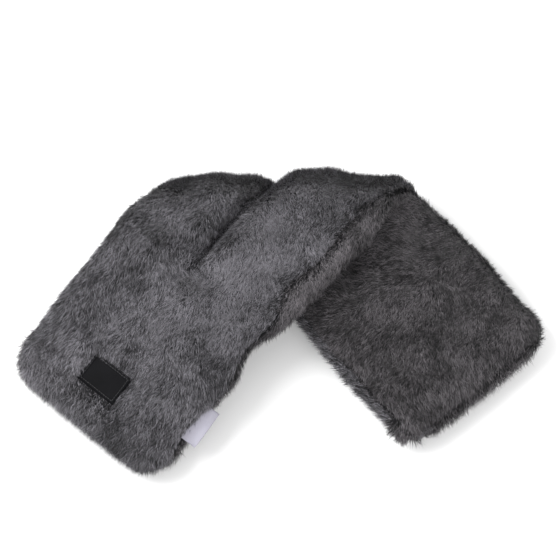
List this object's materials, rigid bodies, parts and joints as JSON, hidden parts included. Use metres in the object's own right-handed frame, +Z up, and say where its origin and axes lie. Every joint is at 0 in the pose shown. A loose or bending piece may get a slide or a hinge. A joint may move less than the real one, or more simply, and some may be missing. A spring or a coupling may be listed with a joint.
{
  "type": "plush heat wrap",
  "caption": "Folded rectangular plush heat wrap with stitched grain channels in the middle, a soft chamber at each end, a blank patch and a ribbon care label.",
  "frame": {"origin": "centre of the folded wrap's outline on the surface it lies on", "axes": "+X along the fold line, towards the rear arm's side; +Y away from the two arms' ends, towards the fold; +Z up"},
  "size_m": [0.4088, 0.2406, 0.0686],
  "materials": {
    "face_plush": "matte",
    "back_plush": "matte",
    "liner_cotton": "matte",
    "grain_fill": "matte",
    "thread": "satin",
    "woven_patch": "satin",
    "satin_ribbon": "satin"
  },
  "bodies": {
    "rear_neck": {"rear_neck_back_panel": "back_plush", "rear_neck_centre_stitch": "thread", "rear_neck_face_panel": "face_plush", "rear_neck_grain_left": "grain_fill", "rear_neck_grain_right": "grain_fill", "rear_neck_liner": "liner_cotton", "rear_neck_side_seams": "thread"},
    "rear_end": {"rear_end_back_panel": "back_plush", "rear_end_edge_seam": "thread", "rear_end_face_panel": "face_plush", "rear_end_grain": "grain_fill", "rear_end_liner": "liner_cotton", "closing_seam": "thread"},
    "fold": {"fold_centre_stitch": "thread", "fold_face_panel": "face_plush"},
    "front_neck": {"front_neck_back_panel": "back_plush", "front_neck_centre_stitch": "thread", "front_neck_face_panel": "face_plush", "front_neck_grain_left": "grain_fill", "front_neck_grain_right": "grain_fill", "front_neck_liner": "liner_cotton", "front_neck_side_seams": "thread"},
    "front_end": {"front_end_back_panel": "back_plush", "front_end_edge_seam": "thread", "front_end_face_panel": "face_plush", "front_end_grain": "grain_fill", "front_end_liner": "liner_cotton", "brand_patch": "woven_patch", "patch_stitching": "thread"},
    "care_label": {"care_label": "satin_ribbon"}
  },
  "joints": [
    {"name": "fold_lower", "type": "hinge", "parent": "rear_neck", "child": "fold", "pos_m": [0.02268, 0.10326, 0.017], "axis": [-1, 0, 0], "range_deg": [0, 90]},
    {"name": "fold_upper", "type": "hinge", "parent": "fold", "child": "front_neck", "pos_m": [-0.00534, 0.10326, 0.0516], "axis": [-1, 0, 0], "range_deg": [0, 90]},
    {"name": "front_bend", "type": "hinge", "parent": "front_neck", "child": "front_end", "pos_m": [-0.06827, 0.02554, 0.0516], "axis": [-0.7771, 0.6293, 0], "range_deg": [-60, 100]},
    {"name": "rear_bend", "type": "hinge", "parent": "rear_neck", "child": "rear_end", "pos_m": [0.08246, 0.02943, 0.017], "axis": [-0.7771, -0.6293, 0], "range_deg": [0, 90]},
    {"name": "care_label_flap", "type": "hinge", "parent": "front_end", "child": "care_label", "pos_m": [-0.06155, -0.0866, 0.02879], "axis": [-0.6068, -0.7493, -0.2652], "range_deg": [-50, 70]}
  ],
  "couplings": [
    {"joint": "fold_upper", "follows": "fold_lower", "ratio": 1}
  ]
}
